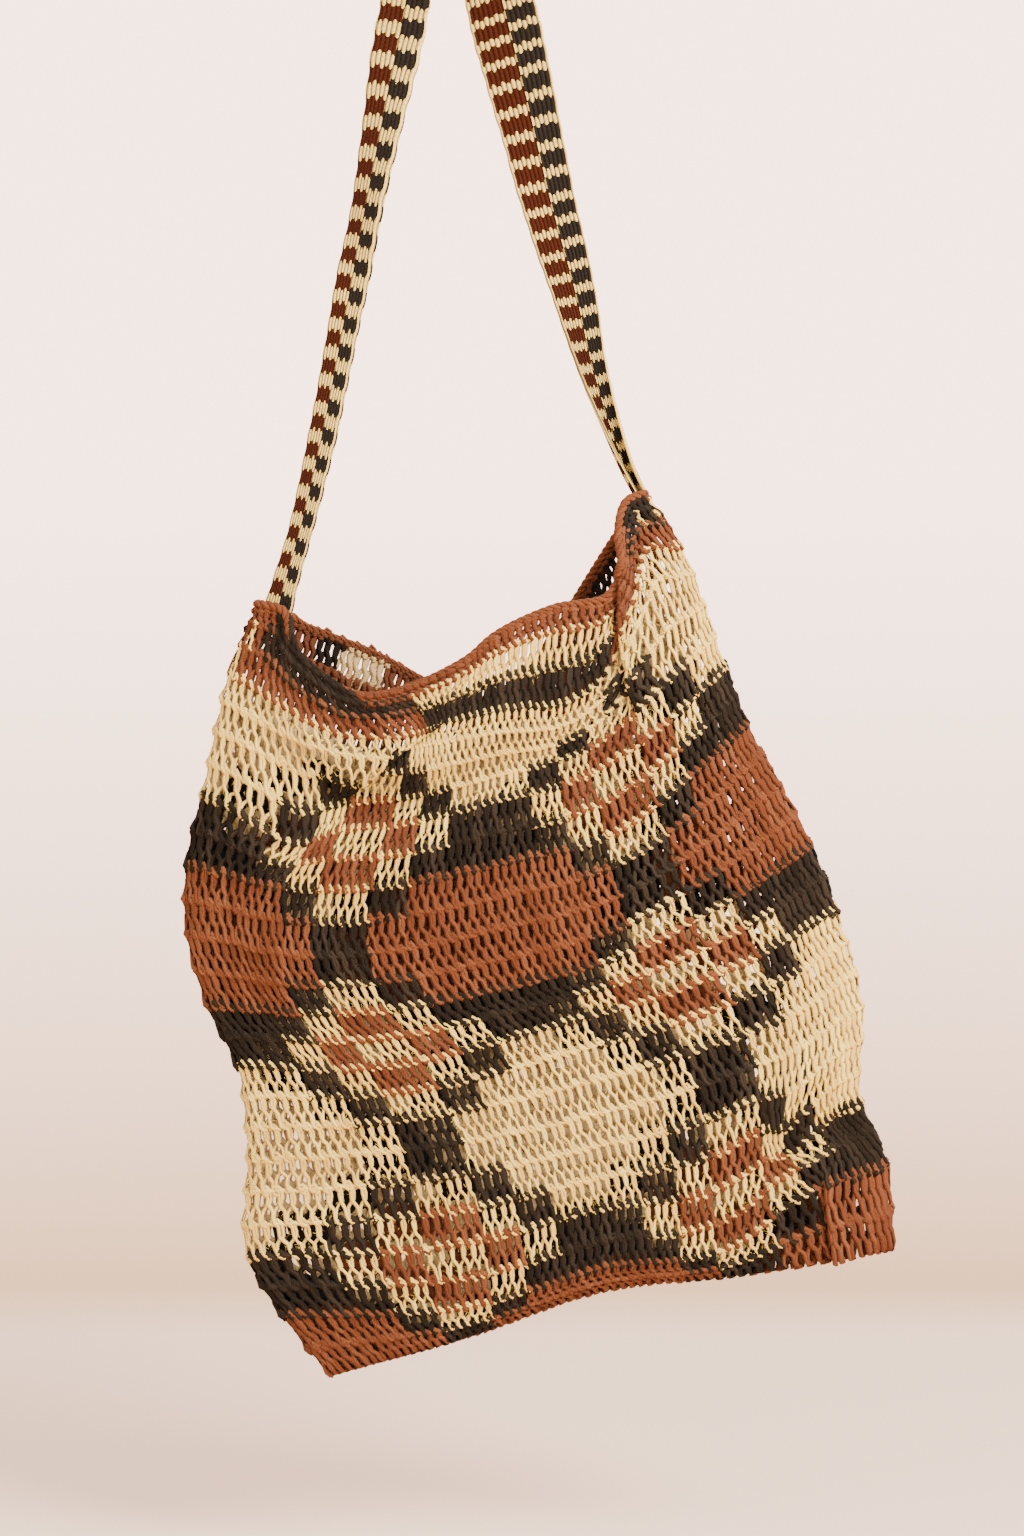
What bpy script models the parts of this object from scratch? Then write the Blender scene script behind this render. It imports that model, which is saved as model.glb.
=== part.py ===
"""A looped string bag, empty, hanging from one point by its woven strap.

The bag's wall is one tube of looped yarn, closed along the bottom and open at the mouth. It is
measured as the maker counts it: stitches round, courses down. Stitch 0 is the left side seen from
the front, stitch HALF_ROUND the right side, and course 0 is the mouth. Tables in millimetres give
where those stitches and courses hang. Lengths elsewhere are in metres, +Z is up, the front faces
-Y, and the origin is where the strap rests on whatever holds it.
"""

import math
from collections import namedtuple

import bmesh
import bpy
import numpy as np
from mathutils import Matrix, Vector

MM = 0.001

# The net as worked
ROUND = 128  # stitches round the bag
HALF_ROUND = 64
COURSES = 24.8  # courses from the mouth to the bottom fold
STITCH = 5.1 * MM
COURSE = 17.0 * MM
WALL = 2.4 * MM

# How far the two walls stand apart
EDGE_HALF = 4.6 * MM  # half the gap beside the side folds
EDGE_ROUND = 6.0 * MM  # how soon the side and bottom folds open to that

# The edging and the strap
EDGING_RADIUS = 2.6 * MM
SEAT_GAP = 0.7 * MM
JUST_BELOW = 0.4  # courses under the mouth, where the wall's own direction there is taken
STRAP_THICK = 2.0 * MM
STRAP_FOLD_AT = 0.70  # share of the strap's width before its folded edge
STRAP_FOLD_RADIUS = 1.5 * MM
PEG_RADIUS = 8.0 * MM  # inner radius of the strap where it turns at the top
TOP_FACING = -90  # the strap lies across the peg edge on to the front

# Where the solids have points: stitches from each side fold, then evenly between, and courses
# evenly down, then at these distances from the bottom fold
SIDE_SAMPLES = (0, 0.3, 0.9, 2.0, 4.0)
FIRST_EVEN_STITCH = 6.3
EVEN_STITCHES = 24
EVEN_COURSES = 27
BOTTOM_SAMPLES = (0.5, 0.22, 0.06, 0)
FOLD_SAMPLES = 33  # points along each fold's line
FLAT_SAMPLES = 5  # points across the strap up to its folded edge
BEND_SAMPLES = 5  # and round that edge
SHARP_ANGLE = math.radians(50)  # the strap's edges shade sharp past this

# Where the mouth hangs, in millimetres
MouthPoint = namedtuple("MouthPoint", "stitch x z")
FRONT_MOUTH = (
    MouthPoint(0, -107, -423),
    MouthPoint(4.5, -92, -428),
    MouthPoint(8, -88, -441),
    MouthPoint(13, -70, -460),
    MouthPoint(18, -49, -471),
    MouthPoint(24, -21, -467),
    MouthPoint(30, 11, -452),
    MouthPoint(34, 24, -441),
    MouthPoint(42, 56, -426),
    MouthPoint(50, 88, -419),
    MouthPoint(54, 95, -407),
    MouthPoint(58, 97, -387),
    MouthPoint(61, 101, -371),
    MouthPoint(64, 109, -362),
)
BACK_MOUTH = (
    MouthPoint(64, 109, -362),
    MouthPoint(71, 91, -388),
    MouthPoint(78, 74, -414),
    MouthPoint(85, 57, -440),
    MouthPoint(91, 38, -463),
    MouthPoint(98, 11, -474),
    MouthPoint(104, -14, -463),
    MouthPoint(111, -39, -449),
    MouthPoint(118, -68, -437),
    MouthPoint(128, -107, -423),
)

# Where each course hangs on the front, as (x, z) in millimetres at six stitches, how much lower
# the back's middle hangs, and half the depth between the walls there
LEVEL_STITCHES = (0, 18, 34, 50, 57, 64)
Level = namedtuple("Level", "course left first middle second third right back_drop half_depth")
LEVELS = (
    Level(3, (-121, -458), (-52, -493), (21, -480), (84, -460), (109, -421), (127, -389), 12, 25),
    Level(7, (-136, -525), (-51, -543), (22, -529), (90, -506), (122, -482), (151, -454), 8, 22),
    Level(9, (-144, -563), (-58, -576), (22, -563), (99, -540), (132, -514), (163, -486), 6, 21),
    Level(11, (-144, -601), (-61, -612), (27, -597), (107, -572), (145, -547), (181, -519), 5, 20),
    Level(13, (-133, -640), (-49, -643), (36, -628), (117, -602), (158, -579), (198, -552), 4, 19),
    Level(15, (-117, -673), (-30, -672), (50, -652), (129, -629), (172, -611), (212, -587), 3, 18),
    Level(18, (-111, -725), (-10, -716), (67, -701), (150, -678), (190, -661), (226, -640), 2, 17),
    Level(21, (-111, -778), (3, -770), (81, -750), (158, -734), (193, -706), (226, -694), 1, 15),
    Level(23, (-92, -810), (8, -805), (83, -783), (161, -768), (198, -740), (240, -728), 0, 11),
    Level(24.8, (-66, -843), (11, -821), (85, -796), (164, -787), (205, -781), (244, -774), 0, 5),
)
MOUTH_HALF_DEPTH = 26

# Folds, from one stitch and course to another. The middle of a fold hangs `bow` courses lower,
# and `height` stands out of the bag, or into it where it is below zero
Fold = namedtuple("Fold", "name stitch course to_stitch to_course bow width height")
FOLDS = (
    Fold("front swag under the mouth", 5, 2.6, 46, 2.4, 2.2, 13, 6),
    Fold("front swag trough", 2, 4.6, 49, 4.6, 1.8, 13, -5),
    Fold("front swag at the first motifs", 1, 6.6, 47, 6.6, 1.6, 18, 4),
    Fold("drag line from the right corner", 58, 3.0, 44, 13.0, 0.5, 26, 6),
    Fold("drag line from the left corner", 5, 4.0, 13, 13.0, 0.5, 24, 5),
    Fold("middle hollow", 26, 10.0, 38, 17.0, 0.0, 34, -3),
    Fold("right gather ridge", 63, 19.6, 50, 18.6, 0.2, 14, 5),
    Fold("right gather pinch", 64, 21.6, 49, 21.2, 0.2, 12, -4),
    Fold("turned lower corner", 56.5, 22.2, 57.5, 24.4, 0.0, 14, 5),
    Fold("low left roll", 6, 16.0, 9, 23.0, 0.0, 22, 4),
    Fold("back swag under the mouth", 74, 2.6, 118, 2.6, 2.0, 15, 6),
    Fold("back swag trough", 72, 5.0, 122, 5.0, 1.6, 15, -4),
    Fold("back drag line", 68, 4.0, 92, 15.0, 0.0, 26, 5),
    Fold("back low fold", 110, 12.0, 100, 22.0, 0.0, 26, 4),
)

# The pleat under the right corner: the cloth right of it lies in front
PLEAT_STITCH = 52.5
PLEAT_WIDTH = 1.6  # stitches
PLEAT_STEP = 7.0 * MM
PLEAT_END = 7.5  # course at which it has faded

# The strap from the left corner over the top to the right corner, in millimetres and degrees.
# `turn` is how far its edge is folded behind, `curl` how far it is rolled, `facing` its twist
Station = namedtuple("Station", "x z width turn curl facing")
STRAP_LEFT = (
    Station(-94.4, -420.8, 21, 176, 0, 0),
    Station(-90.5, -407, 19, 178, 0, 0),
    Station(-84, -385, 19, 180, 10, 0),
    Station(-72, -335, 22, 180, 0, -4),
    Station(-56, -253, 26, 180, -10, -8),
    Station(-40, -165, 33, 180, 0, -4),
    Station(-27.5, -105, 39, 180, 0, -14),
    Station(-20, -72, 41, 130, 0, -32),
    Station(-13, -42, 41, 60, 0, -62),
    Station(-9.4, -20, 41, 10, 0, -86),
)
STRAP_RIGHT = (
    Station(10.2, -20, 41, 0, 0, -94),
    Station(16, -45, 41, 0, 0, -122),
    Station(25, -80, 41, 0, 0, -150),
    Station(44.5, -159, 36, 0, 10, -172),
    Station(52, -191, 33, 0, 20, -180),
    Station(69, -253, 28, 0, 50, -184),
    Station(78, -290, 22, 0, 110, -190),
    Station(90, -327, 18, 0, 200, -200),
    Station(99, -349, 15, 0, 270, -200),
    Station(103.8, -357.6, 14, 0, 280, -200),
)
TOP_STEPS = 9
STRAP_STEP = 14.0 * MM

CREAM = (0.72, 0.60, 0.38)
TERRACOTTA = (0.38, 0.13, 0.05)


def smooth(knots, values, places):
    """A cubic curve through the values at rising knots, read at the places."""
    knots = np.asarray(knots, float)
    values = np.asarray(values, float)
    slopes = np.gradient(values, knots, axis=0)
    places = np.clip(places, knots[0], knots[-1])
    low = np.clip(np.searchsorted(knots, places, side="right") - 1, 0, len(knots) - 2)
    shape = (-1,) + (1,) * (values.ndim - 1)
    span = (knots[low + 1] - knots[low]).reshape(shape)
    t = (places - knots[low]).reshape(shape) / span
    start = (2 * t**3 - 3 * t**2 + 1) * values[low] + (t**3 - 2 * t**2 + t) * span * slopes[low]
    end = (3 * t**2 - 2 * t**3) * values[low + 1] + (t**3 - t**2) * span * slopes[low + 1]
    return start + end


def opened(distance):
    """0 on a side or bottom fold, rising on a round curve to 1."""
    t = np.clip(distance / EDGE_ROUND, 0, 1)
    return np.sqrt(1 - (1 - t) ** 2)


def fold_heights(stitches, courses):
    """How far the folds push the wall outwards, for each course and stitch."""
    across, down = np.meshgrid(stitches * STITCH, courses * COURSE)
    height = np.zeros(across.shape)
    for fold in FOLDS:
        low = np.zeros(across.shape)
        for t in np.linspace(0, 1, FOLD_SAMPLES):
            stitch = fold.stitch + t * (fold.to_stitch - fold.stitch)
            course = fold.course + t * (fold.to_course - fold.course) + fold.bow * 4 * t * (1 - t)
            apart = (across - stitch * STITCH) ** 2 + (down - course * COURSE) ** 2
            near = np.exp(-apart / (fold.width * MM) ** 2) * math.sin(math.pi * t) ** 0.7
            low = np.maximum(low, near)
        height += fold.height * MM * low
    return height


def pleat_heights(stitches, courses):
    """The step outwards across the pleat, from its left side to its right."""
    across, down = np.meshgrid(stitches, courses)
    side = 0.5 + 0.5 * np.tanh((across - PLEAT_STITCH) / PLEAT_WIDTH)
    back_again = 1 - np.clip((across - PLEAT_STITCH) / (HALF_ROUND - PLEAT_STITCH), 0, 1) ** 2
    fade = np.clip((PLEAT_END - down) / PLEAT_END, 0, 1) ** 0.5
    return PLEAT_STEP * side * back_again * fade * (across < HALF_ROUND)


def wall_points(stitches, courses):
    """The wall's middle surface, as points for each course and stitch."""
    stitches = np.asarray(stitches, float)
    courses = np.asarray(courses, float)
    front = stitches <= HALF_ROUND
    as_front = np.where(front, stitches, ROUND - stitches)
    rows = [mouth_row(stitches, front)]
    for level in LEVELS:
        row = smooth(LEVEL_STITCHES, level[1:7], as_front)
        share = as_front / HALF_ROUND
        row[:, 1] -= np.where(front, 0, level.back_drop) * 4 * share * (1 - share)
        rows.append(row)
    knots = [0] + [level.course for level in LEVELS]
    flat = smooth(knots, rows, courses) * MM
    depths = [MOUTH_HALF_DEPTH] + [level.half_depth for level in LEVELS]
    half = smooth(knots, depths, courses)[:, None] * MM
    half = EDGE_HALF + (half - EDGE_HALF) * np.sin(np.pi * as_front / HALF_ROUND)
    side = opened(np.minimum(as_front, HALF_ROUND - as_front) * STITCH)
    bottom = opened((COURSES - courses) * COURSE)[:, None]
    out = half + fold_heights(stitches, courses) + pleat_heights(stitches, courses)
    depth = np.where(front, -1, 1) * out * side * bottom
    return np.stack([flat[..., 0], depth, flat[..., 1]], axis=-1)


def mouth_row(stitches, front):
    """(x, z) of the mouth at each stitch, in millimetres."""
    ahead = smooth([p.stitch for p in FRONT_MOUTH], [p[1:] for p in FRONT_MOUTH], stitches)
    behind = smooth([p.stitch for p in BACK_MOUTH], [p[1:] for p in BACK_MOUTH], stitches)
    return np.where(front[:, None], ahead, behind)


def stitch_samples():
    """Stitches round the bag at which the solid has points, closer at the side folds."""
    middle = np.linspace(FIRST_EVEN_STITCH, HALF_ROUND - FIRST_EVEN_STITCH, EVEN_STITCHES)
    half = [*SIDE_SAMPLES, *middle, *(HALF_ROUND - s for s in reversed(SIDE_SAMPLES))]
    return np.array(half + [ROUND - s for s in reversed(half[1:-1])])


def course_samples():
    """Courses down the bag at which the solid has points, closer at the bottom fold."""
    even = np.linspace(0, COURSES - 1, EVEN_COURSES)
    return np.array([*even, *(COURSES - d for d in BOTTOM_SAMPLES)])


def new_object(name, mesh_or_curve, material):
    thing = bpy.data.objects.new(name, mesh_or_curve)
    mesh_or_curve.materials.append(material)
    PARTS.objects.link(thing)
    return thing


def new_material(name, colour, roughness):
    material = bpy.data.materials.new(name)
    material.use_nodes = True
    shader = material.node_tree.nodes["Principled BSDF"]
    shader.inputs["Base Color"].default_value = (*colour, 1)
    shader.inputs["Roughness"].default_value = roughness
    shader.inputs["Metallic"].default_value = 0.0
    return material


def make_wall():
    """The looped tube: an open surface round the bag, joined along the bottom, made solid."""
    stitches = stitch_samples()
    courses = course_samples()
    points = wall_points(stitches, courses)
    count = len(stitches)
    mesh = bmesh.new()
    rings = [[mesh.verts.new(p) for p in row] for row in points[:-1]]
    half = count // 2
    bottom = [mesh.verts.new(p) for p in points[-1][: half + 1]]
    rings.append([bottom[i] if i <= half else bottom[count - i] for i in range(count)])
    for upper, lower in zip(rings, rings[1:]):
        for i in range(count):
            j = (i + 1) % count
            mesh.faces.new((upper[i], lower[i], lower[j], upper[j]))
    bmesh.ops.recalc_face_normals(mesh, faces=mesh.faces)
    data = bpy.data.meshes.new("bag_body")
    mesh.to_mesh(data)
    mesh.free()
    data.shade_smooth()
    body = new_object("bag_body", data, new_material("looped yarn", CREAM, 0.9))
    shell = body.modifiers.new("yarn thickness", "SOLIDIFY")
    shell.thickness = WALL
    shell.offset = 0
    shell.use_even_offset = True
    shell.use_quality_normals = True


def mouth_line():
    """The edging's middle line: just past the wall's edge, in the wall's own direction."""
    stitches = stitch_samples()
    edge, below = wall_points(stitches, [0, JUST_BELOW])
    along = np.roll(edge, -1, axis=0) - np.roll(edge, 1, axis=0)
    down = np.cross(np.cross(along, below - edge), along)
    down /= np.linalg.norm(down, axis=1)[:, None]
    return edge - down * (EDGING_RADIUS + SEAT_GAP)


def make_edging():
    """The thick cord of yarn round the mouth."""
    line = mouth_line()
    curve = bpy.data.curves.new("mouth_edging", "CURVE")
    curve.dimensions = "3D"
    curve.bevel_depth = EDGING_RADIUS
    curve.bevel_resolution = 2
    spline = curve.splines.new("POLY")
    spline.points.add(len(line) - 1)
    for point, place in zip(spline.points, line):
        point.co = (*place, 1)
    spline.use_cyclic_u = True
    new_object("mouth_edging", curve, new_material("edging yarn", TERRACOTTA, 0.9))


def strap_rows():
    """The strap's stations with the turn over the top put in between its two legs."""
    radius = (PEG_RADIUS + STRAP_THICK / 2) / MM
    last = STRAP_LEFT[-1]
    over = []
    for i in range(1, TOP_STEPS):
        angle = math.pi * (1 - i / TOP_STEPS)
        x = radius * math.cos(angle)
        z = radius * (math.sin(angle) - 1) + STRAP_THICK / MM / 2
        over.append(Station(x, z, last.width, 0, 0, TOP_FACING))
    return [*STRAP_LEFT, *over, *STRAP_RIGHT]


def strap_places(rows):
    """The rows read at even steps along the strap, with each row's length along it."""
    rows = np.array(rows, float)
    lengths = np.concatenate([[0], np.cumsum(np.linalg.norm(np.diff(rows[:, :2], axis=0), axis=1))])
    top = lengths[len(STRAP_LEFT) - 1 : len(rows) - len(STRAP_RIGHT) + 1]
    left = np.arange(0, top[0], STRAP_STEP / MM)
    right = np.arange(lengths[-1], top[-1] + 1, -STRAP_STEP / MM)[::-1]
    return smooth(lengths, rows, np.concatenate([left, top, right]))


def section(width, turn, curl):
    """The strap cut across: its middle line's (across, behind, bend), from its left edge to its right."""
    before = min(STRAP_FOLD_AT, 1 - 4 * STRAP_FOLD_RADIUS / width)
    after = before + math.pi * STRAP_FOLD_RADIUS / width
    flat = np.linspace(0, before, FLAT_SAMPLES)
    bend = np.linspace(before, after, BEND_SAMPLES)
    shares = np.concatenate([flat, bend[1:], [1]])
    bends = np.interp(shares, [before, after], [0, turn]) + curl * (shares - 0.5)
    middles = np.radians((bends[1:] + bends[:-1]) / 2)
    steps = np.diff(shares) * width
    across = np.concatenate([[0], np.cumsum(steps * np.cos(middles))])
    behind = np.concatenate([[0], np.cumsum(steps * np.sin(middles))])
    centre = (across.max() + across.min()) / 2, (behind.max() + behind.min()) / 2
    return (across - centre[0]).tolist(), (behind - centre[1]).tolist(), np.radians(bends).tolist()


def strap_ring(place, along):
    """The outline of the strap's cut at one place, square to its run."""
    x, z, width, turn, curl, facing = place
    toward_front = Vector((0, -1, 0))
    sideways = along.cross(toward_front).normalized()
    twist = Matrix.Rotation(math.radians(facing), 3, along)
    middle = Vector((x * MM, 0, z * MM))
    sideways = twist @ sideways
    toward_front = twist @ toward_front
    across, behind, bends = section(width * MM, turn, curl)
    ring = []
    for side in (1, -1):
        order = range(len(across)) if side == 1 else range(len(across) - 1, -1, -1)
        for i in order:
            a = across[i] + side * STRAP_THICK / 2 * math.sin(bends[i])
            b = behind[i] - side * STRAP_THICK / 2 * math.cos(bends[i])
            ring.append(middle + a * sideways - b * toward_front)
    return ring


def make_strap():
    """The woven strap: one flat band, folded along its left leg and rolled at its right end."""
    places = strap_places(strap_rows())
    line = places[:, :2]
    run = np.gradient(line, axis=0)
    mesh = bmesh.new()
    rings = []
    for place, (dx, dz) in zip(places.tolist(), run.tolist()):
        ring = strap_ring(place, Vector((dx, 0, dz)).normalized())
        rings.append([mesh.verts.new(p) for p in ring])
    count = len(rings[0])
    for first, second in zip(rings, rings[1:]):
        for i in range(count):
            j = (i + 1) % count
            mesh.faces.new((first[i], first[j], second[j], second[i]))
    half = count // 2
    for ring in (rings[0], rings[-1]):
        for i in range(half - 1):
            mesh.faces.new((ring[i], ring[i + 1], ring[count - 2 - i], ring[count - 1 - i]))
    bmesh.ops.recalc_face_normals(mesh, faces=mesh.faces)
    data = bpy.data.meshes.new("strap")
    mesh.to_mesh(data)
    mesh.free()
    data.shade_smooth()
    data.set_sharp_from_angle(angle=SHARP_ANGLE)
    new_object("strap", data, new_material("woven band", CREAM, 0.85))


for old in list(bpy.data.objects):
    bpy.data.objects.remove(old)
PARTS = bpy.data.collections.new("string bag")
bpy.context.scene.collection.children.link(PARTS)
make_wall()
make_edging()
make_strap()
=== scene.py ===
"""Looks of the looped string bag: its yarn net, twisted mouth cord and woven strap.

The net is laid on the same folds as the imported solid. A place on it is counted as the maker counts:
stitches round from the left side, courses down from the mouth.
"""

import math
from collections import namedtuple

import bpy
import numpy as np
from mathutils import Matrix, Vector


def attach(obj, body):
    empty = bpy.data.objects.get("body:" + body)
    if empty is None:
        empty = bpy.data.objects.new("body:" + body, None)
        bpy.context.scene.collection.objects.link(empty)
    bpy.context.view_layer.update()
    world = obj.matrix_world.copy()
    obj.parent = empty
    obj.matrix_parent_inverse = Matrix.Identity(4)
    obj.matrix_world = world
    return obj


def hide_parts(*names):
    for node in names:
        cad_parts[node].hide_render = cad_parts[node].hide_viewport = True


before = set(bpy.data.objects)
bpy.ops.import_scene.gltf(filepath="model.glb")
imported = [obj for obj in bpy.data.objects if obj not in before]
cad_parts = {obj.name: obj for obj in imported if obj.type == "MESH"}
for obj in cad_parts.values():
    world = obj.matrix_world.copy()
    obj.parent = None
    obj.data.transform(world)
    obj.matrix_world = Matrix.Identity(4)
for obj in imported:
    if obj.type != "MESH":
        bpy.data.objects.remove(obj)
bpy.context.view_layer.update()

MM = 0.001
RANDOM = np.random.default_rng(7)

# The net as worked
ROUND = 128  # stitches round the bag
HALF_ROUND = ROUND // 2
COURSES = 24.8  # courses from the mouth to the bottom fold
COURSE_ROWS = math.ceil(COURSES)  # rows of stitches, with the short last one
NET_END = COURSES - 0.01  # the lowest place on which yarn is laid
STITCH = 5.1 * MM
COURSE = 17.0 * MM

# How far the two walls stand apart
EDGE_HALF = 4.6 * MM  # half the gap beside the side folds
EDGE_ROUND = 6.0 * MM  # how soon the side and bottom folds open to that

# The edging and the strap
EDGING_RADIUS = 2.6 * MM
STRAP_THICK = 2.0 * MM
STRAP_FOLD_AT = 0.64  # share of the strap's width before its folded edge
STRAP_FOLD_RADIUS = 1.5 * MM
PEG_RADIUS = 8.0 * MM  # inner radius of the strap where it turns at the top
TOP_FACING = -90  # there it shows its edge to the front

# Where the mouth hangs, as (stitch, x, z) with x and z in millimetres, from the left corner to the
# right along the front, and then back along the back
FRONT_MOUTH = (
    (0, -107, -423), (4.5, -92, -428), (8, -88, -441), (13, -70, -460), (18, -49, -471),
    (24, -21, -467), (30, 11, -452), (34, 24, -441), (42, 56, -426), (50, 88, -419),
    (54, 95, -407), (58, 97, -387), (61, 101, -371), (64, 109, -362),
)
BACK_MOUTH = (
    (64, 109, -362), (71, 91, -388), (78, 74, -414), (85, 57, -440), (91, 38, -463),
    (98, 11, -474), (104, -14, -463), (111, -39, -449), (118, -68, -437), (128, -107, -423),
)

# Where each course hangs on the front, as (x, z) in millimetres at six stitches, how much lower
# the back's middle hangs, and half the depth between the walls there
LEVEL_STITCHES = (0, 18, 34, 50, 57, 64)
Level = namedtuple("Level", "course left first middle second third right back_drop half_depth")
LEVELS = (
    Level(3, (-121, -458), (-52, -493), (21, -480), (84, -460), (109, -421), (127, -389), 12, 25),
    Level(7, (-136, -525), (-51, -543), (22, -529), (90, -506), (122, -482), (151, -454), 8, 22),
    Level(9, (-144, -563), (-58, -576), (22, -563), (99, -540), (132, -514), (163, -486), 6, 21),
    Level(11, (-144, -601), (-61, -612), (27, -597), (107, -572), (145, -547), (181, -519), 5, 20),
    Level(13, (-133, -640), (-49, -643), (36, -628), (117, -602), (158, -579), (198, -552), 4, 19),
    Level(15, (-117, -673), (-30, -672), (50, -652), (129, -629), (172, -611), (212, -587), 3, 18),
    Level(18, (-111, -725), (-10, -716), (67, -701), (150, -678), (190, -661), (226, -640), 2, 17),
    Level(21, (-111, -778), (3, -770), (81, -750), (158, -734), (193, -706), (226, -694), 1, 15),
    Level(23, (-92, -810), (8, -805), (83, -783), (161, -768), (198, -740), (240, -728), 0, 11),
    Level(24.8, (-66, -843), (11, -821), (85, -796), (164, -787), (205, -781), (244, -774), 0, 5),
)
MOUTH_HALF_DEPTH = 26

# Folds, from one stitch and course to another. The middle of a fold hangs `bow` courses lower,
# and `height` stands out of the bag, or into it where it is below zero
Fold = namedtuple("Fold", "name stitch course to_stitch to_course bow width height")
FOLDS = (
    Fold("swag under the mouth", 5, 2.6, 46, 2.4, 2.2, 13, 6),
    Fold("trough under it", 2, 4.6, 49, 4.6, 1.8, 13, -5),
    Fold("swag at the first motifs", 1, 6.6, 47, 6.6, 1.6, 18, 4),
    Fold("from the right corner", 58, 3, 44, 13, 0.5, 26, 6),
    Fold("from the left corner", 5, 4, 13, 13, 0.5, 24, 5),
    Fold("middle hollow", 26, 10, 38, 17, 0, 34, -3),
    Fold("right gather ridge", 63, 19.6, 50, 18.6, 0.2, 14, 5),
    Fold("right gather pinch", 64, 21.6, 49, 21.2, 0.2, 12, -4),
    Fold("turned lower corner", 56.5, 22.2, 57.5, 24.4, 0, 14, 5),
    Fold("low left roll", 6, 16, 9, 23, 0, 22, 4),
    Fold("back swag", 74, 2.6, 118, 2.6, 2, 15, 6),
    Fold("back trough", 72, 5, 122, 5, 1.6, 15, -4),
    Fold("back drag line", 68, 4, 92, 15, 0, 26, 5),
    Fold("back low fold", 110, 12, 100, 22, 0, 26, 4),
)

# Creases too soft or small for the solid
FINE_FOLDS = (
    Fold("low left ripple", 4, 16.6, 15, 16.8, 0.2, 5, 1.8),
    Fold("second low left ripple", 3, 17.8, 14, 18, 0.2, 5, 1.8),
    Fold("gather spoke", 61, 17, 60, 21, 0, 4, 2.5),
    Fold("gather spoke", 57, 17.6, 57.5, 21.4, 0, 4, 2.5),
    Fold("gather spoke", 53, 18.4, 55, 21.6, 0, 4, 2),
    Fold("drag from the left pinch", 0.5, 15.4, 12, 13.6, 0, 7, 2),
    Fold("roll above the crease", 10, 6, 26, 2.4, 0.5, 6, 3),
    Fold("hollow below the crease", 14, 7.4, 30, 3.6, 0.3, 6, -2.5),
)
FOLD_POINTS = 33  # how many points stand for a fold's line
FOLD_TAPER = 0.7  # how soon a fold's ends rise

# The pleat under the right corner: the cloth right of it lies in front
PLEAT_STITCH = 52.5
PLEAT_WIDTH = 1.6  # stitches
PLEAT_STEP = 7.0 * MM
PLEAT_END = 7.5  # course at which it has faded

# Where the cloth is dragged along itself, in stitches across and courses down, or gathered to one
# stitch. It is dragged most there, and less over `wide` stitches and courses `above` and `below`
Drag = namedtuple("Drag", "name stitch course across down gather wide above below")
DRAGS = (
    Drag("to the dip of the mouth", 18, 3.2, 5.5, 0, 0, 8, 3, 2.9),
    Drag("up to the right corner", 57.5, 3, 0, -1.2, 0, 4.5, 3, 2.2),
    Drag("level under the right corner", 60.5, 3, 0, -0.8, 0, 3, 2.5, 1.8),
    Drag("right side turned to the front", 70, 16, -5.5, 0, 0, 9, 14, 14),
    Drag("gathered neck low on the right", 63, 21.4, 0, 0, 0.42, 4.5, 1.8, 1.1),
    Drag("down beside the neck", 58.5, 20.6, -2.2, 0.7, 0, 4, 2.2, 1.5),
    Drag("down to the first motif's left", 9, 6.8, 2.2, 0.75, 0, 4.5, 1.6, 1.6),
    Drag("back drawn after the turned side", 84, 16, -1, 0, 0, 10, 14, 14),
)
# Round the side folds the dragged cloth's stitches are kept as wide as elsewhere
SIDE_DRAGS = [
    Drag("evened round a side", side, 12, 0, 0, 0.42, 3, 60, 60) for side in (0, ROUND, HALF_ROUND)
]

# Laps, where the net is folded over itself along a line. `over` is 1 where the cloth on the side
# of more stitches lies in front, and -1 where that on the side of fewer stitches does
Lap = namedtuple("Lap", "name stitch course to_stitch to_course over lap rise reach")
LAPS = (
    Lap("pleat under the right corner", 52.6, -1.5, 53.6, 6.6, 1, 7.0, 5.0, 26),
    Lap("crease left of the first motif", 14, 6.4, 30, 2.5, -1, 4.5, 5.0, 16),
    Lap("turned lower corner", 58.2, 22.3, 58.6, 26.5, 1, 6.0, 6.0, 20),
)
LAP_SHARPNESS = 2.4
LAP_STARTS, LAP_ENDS = 3, 5  # how soon a lap is full from its start, and from its end
LIFT_REACH = 0.6  # how far the cloth is lifted beside it, as a share of its reach

# Where the wall is worked out: in even steps, and closer by the side folds and the bottom
WALL_STEPS = (0.25, 0.1)  # stitches across and courses down
BESIDE_FOLDS = (0.04, 0.1, 0.18, 0.35, 0.6)
ABOVE_BOTTOM = (0.06, 0.03, 0.01, 0.0)

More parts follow.
